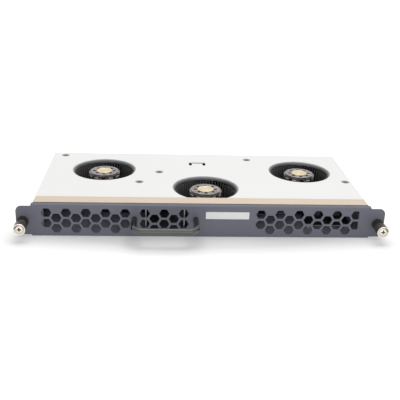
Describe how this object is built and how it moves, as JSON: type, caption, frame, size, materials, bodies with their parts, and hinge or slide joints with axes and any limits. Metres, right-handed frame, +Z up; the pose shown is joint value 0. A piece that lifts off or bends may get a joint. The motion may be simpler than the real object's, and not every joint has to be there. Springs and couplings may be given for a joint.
{
  "type": "server fan module",
  "caption": "Rack-width fan tray with three turning radial blowers in a sheet-metal case, a hex-vented face plate with a pull handle, and spring-loaded captive screws in its ears.",
  "frame": {"origin": "underside of the bottom cover, at the middle of the tray's width and depth", "axes": "+X to the right seen from the front, +Y to the rear, +Z up"},
  "size_m": [0.4826, 0.2638, 0.0447],
  "materials": {
    "shell_zinc": "matt pale grey coat on sheet steel",
    "panel_paint": "textured dark blue-grey powder coat",
    "gasket_fabric": "tan conductive ripstop cloth over foam",
    "label_white": "bare white label",
    "handle_metal": "satin nickel",
    "screw_steel": "zinc-plated steel",
    "bearing_brass": "turned brass",
    "bearing_bronze": "sintered bronze",
    "lamination_steel": "lacquered laminations",
    "coil_copper": "enamelled copper wire",
    "board_green": "circuit board lacquer",
    "ferrule_steel": "dark phosphated steel",
    "support_nylon": "nylon",
    "header_white": "moulded nylon",
    "chip_black": "moulded epoxy",
    "connector_black": "moulded plastic",
    "lead_grey": "grey flat lead",
    "housing_steel": "black coated sheet",
    "inlet_steel": "galvanised sheet",
    "blade_black": "glass-filled black plastic",
    "cup_steel": "turned satin steel",
    "boss_brass": "turned brass",
    "shaft_steel": "ground steel",
    "spring_steel": "spring steel",
    "knob_nickel": "satin nickel"
  },
  "bodies": {
    "tray": {"sheet_shell": "shell_zinc", "bottom_cover": "shell_zinc", "face_plate": "panel_paint", "conductive_gasket": "gasket_fabric", "blank_label": "label_white", "pull_handle": "handle_metal", "handle_screws": "screw_steel", "bearing_tubes": "bearing_brass", "shaft_bearings": "bearing_bronze", "stator_cores": "lamination_steel", "stator_coils": "coil_copper", "motor_boards": "board_green", "blower_screws": "screw_steel", "ear_ferrules": "ferrule_steel", "control_board": "board_green", "board_supports": "support_nylon", "board_headers": "header_white", "board_components": "chip_black", "rear_connector": "connector_black", "power_harness": "lead_grey", "left_blower_housing": "housing_steel", "left_inlet_plate": "inlet_steel", "left_blower_lead": "lead_grey", "middle_blower_housing": "housing_steel", "middle_inlet_plate": "inlet_steel", "middle_blower_lead": "lead_grey", "right_blower_housing": "housing_steel", "right_inlet_plate": "inlet_steel", "right_blower_lead": "lead_grey", "left_spring": "spring_steel", "right_spring": "spring_steel"},
    "left_rotor": {"left_impeller": "blade_black", "left_rotor_cup": "cup_steel", "left_hub_boss": "boss_brass", "left_shaft": "shaft_steel"},
    "middle_rotor": {"middle_impeller": "blade_black", "middle_rotor_cup": "cup_steel", "middle_hub_boss": "boss_brass", "middle_shaft": "shaft_steel"},
    "right_rotor": {"right_impeller": "blade_black", "right_rotor_cup": "cup_steel", "right_hub_boss": "boss_brass", "right_shaft": "shaft_steel"},
    "left_plunger": {"left_spring_washer": "ferrule_steel"},
    "left_screw_knob": {"left_knob": "knob_nickel", "left_captive_screw": "screw_steel"},
    "right_plunger": {"right_spring_washer": "ferrule_steel"},
    "right_screw_knob": {"right_knob": "knob_nickel", "right_captive_screw": "screw_steel"}
  },
  "joints": [
    {"name": "left_rotor_spin", "type": "hinge", "parent": "tray", "child": "left_rotor", "pos_m": [-0.1383, 0.0316, 0.02], "axis": [0, 0, 1], "continuous": true},
    {"name": "middle_rotor_spin", "type": "hinge", "parent": "tray", "child": "middle_rotor", "pos_m": [0.0069, -0.0394, 0.02], "axis": [0, 0, 1], "continuous": true},
    {"name": "right_rotor_spin", "type": "hinge", "parent": "tray", "child": "right_rotor", "pos_m": [0.1521, 0.0316, 0.02], "axis": [0, 0, 1], "continuous": true},
    {"name": "left_screw_push", "type": "slide", "parent": "tray", "child": "left_plunger", "axis": [0, 1, 0], "range_m": [0, 0.009], "stiffness_N_per_m": 400, "springref_m": -0.004, "deforming": ["left_spring"]},
    {"name": "left_screw_turn", "type": "hinge", "parent": "left_plunger", "child": "left_screw_knob", "pos_m": [-0.23255, -0.1284, 0.02], "axis": [0, 1, 0], "continuous": true},
    {"name": "right_screw_push", "type": "slide", "parent": "tray", "child": "right_plunger", "axis": [0, 1, 0], "range_m": [0, 0.009], "stiffness_N_per_m": 400, "springref_m": -0.004, "deforming": ["right_spring"]},
    {"name": "right_screw_turn", "type": "hinge", "parent": "right_plunger", "child": "right_screw_knob", "pos_m": [0.23255, -0.1284, 0.02], "axis": [0, 1, 0], "continuous": true}
  ]
}
